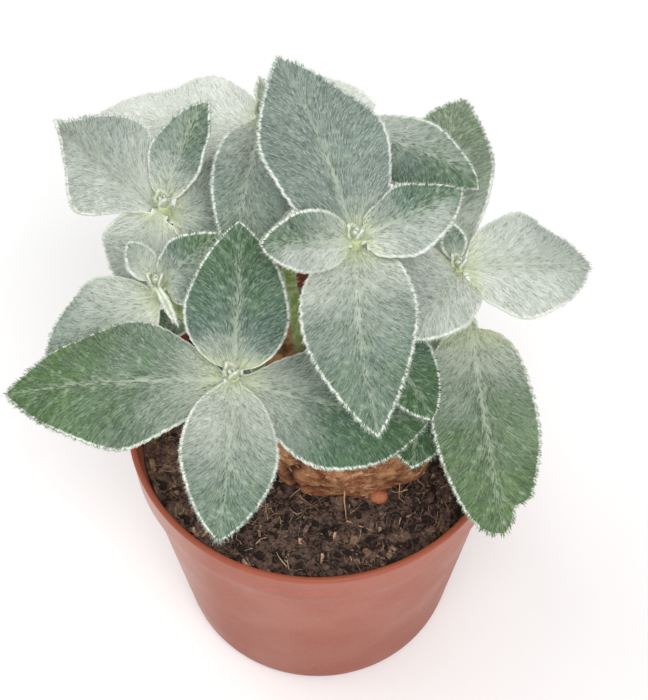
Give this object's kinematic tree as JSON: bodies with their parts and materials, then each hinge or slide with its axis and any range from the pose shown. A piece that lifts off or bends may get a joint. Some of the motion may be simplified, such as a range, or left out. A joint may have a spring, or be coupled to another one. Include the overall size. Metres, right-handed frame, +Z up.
{
  "type": "potted brazilian edelweiss",
  "caption": "Succulent with a squat brown tuber and whorls of large silvery felted leaves on short stems, growing in dark peat in a round terracotta-coloured nursery pot.",
  "frame": {"origin": "centre of the pot's base, on its resting plane", "axes": "+Z up; -Y is the side seen in front in the picture, +X to its right"},
  "size_m": [0.1698, 0.1533, 0.2072],
  "materials": {
    "pot_plastic": "satin injection-moulded plastic with dust and specks of soil",
    "soil": "moist dark peat with pale fibres and a few bark chips; wood stands in because loose peat has about its density",
    "tuber_bark": "dry corky brown skin with fine roots; leather stands in for it",
    "stem_felt": "soft green stem under pale hairs; leather stands in for it",
    "leaf_felt": "grey-green blade under silky silver hairs; leather stands in for it"
  },
  "bodies": {
    "root": {"pot": "pot_plastic", "soil": "soil", "tuber": "tuber_bark", "stem_a": "stem_felt", "stem_b": "stem_felt", "stem_c": "stem_felt", "stem_d": "stem_felt", "stem_e": "stem_felt", "stem_f": "stem_felt", "stem_g": "stem_felt", "leaf_a_left": "leaf_felt", "leaf_a_right": "leaf_felt", "leaf_a_down": "leaf_felt", "leaf_a_up": "leaf_felt", "leaf_a_low": "leaf_felt", "leaf_b_up": "leaf_felt", "leaf_b_down": "leaf_felt", "leaf_b_right": "leaf_felt", "leaf_b_left": "leaf_felt", "leaf_b_low": "leaf_felt", "leaf_c_left": "leaf_felt", "leaf_c_right": "leaf_felt", "leaf_c_up": "leaf_felt", "leaf_c_down": "leaf_felt", "leaf_d_left": "leaf_felt", "leaf_d_right": "leaf_felt", "leaf_d_up": "leaf_felt", "leaf_d_down": "leaf_felt", "leaf_d_low": "leaf_felt", "leaf_e_right": "leaf_felt", "leaf_e_left": "leaf_felt", "leaf_e_up": "leaf_felt", "leaf_e_back": "leaf_felt", "leaf_e_front": "leaf_felt", "leaf_e_low": "leaf_felt", "leaf_f_left": "leaf_felt", "leaf_f_right": "leaf_felt", "leaf_f_down": "leaf_felt", "leaf_f_up": "leaf_felt", "leaf_g_right": "leaf_felt", "leaf_g_left": "leaf_felt", "leaf_g_down": "leaf_felt", "leaf_g_up": "leaf_felt"}
  },
  "joints": []
}
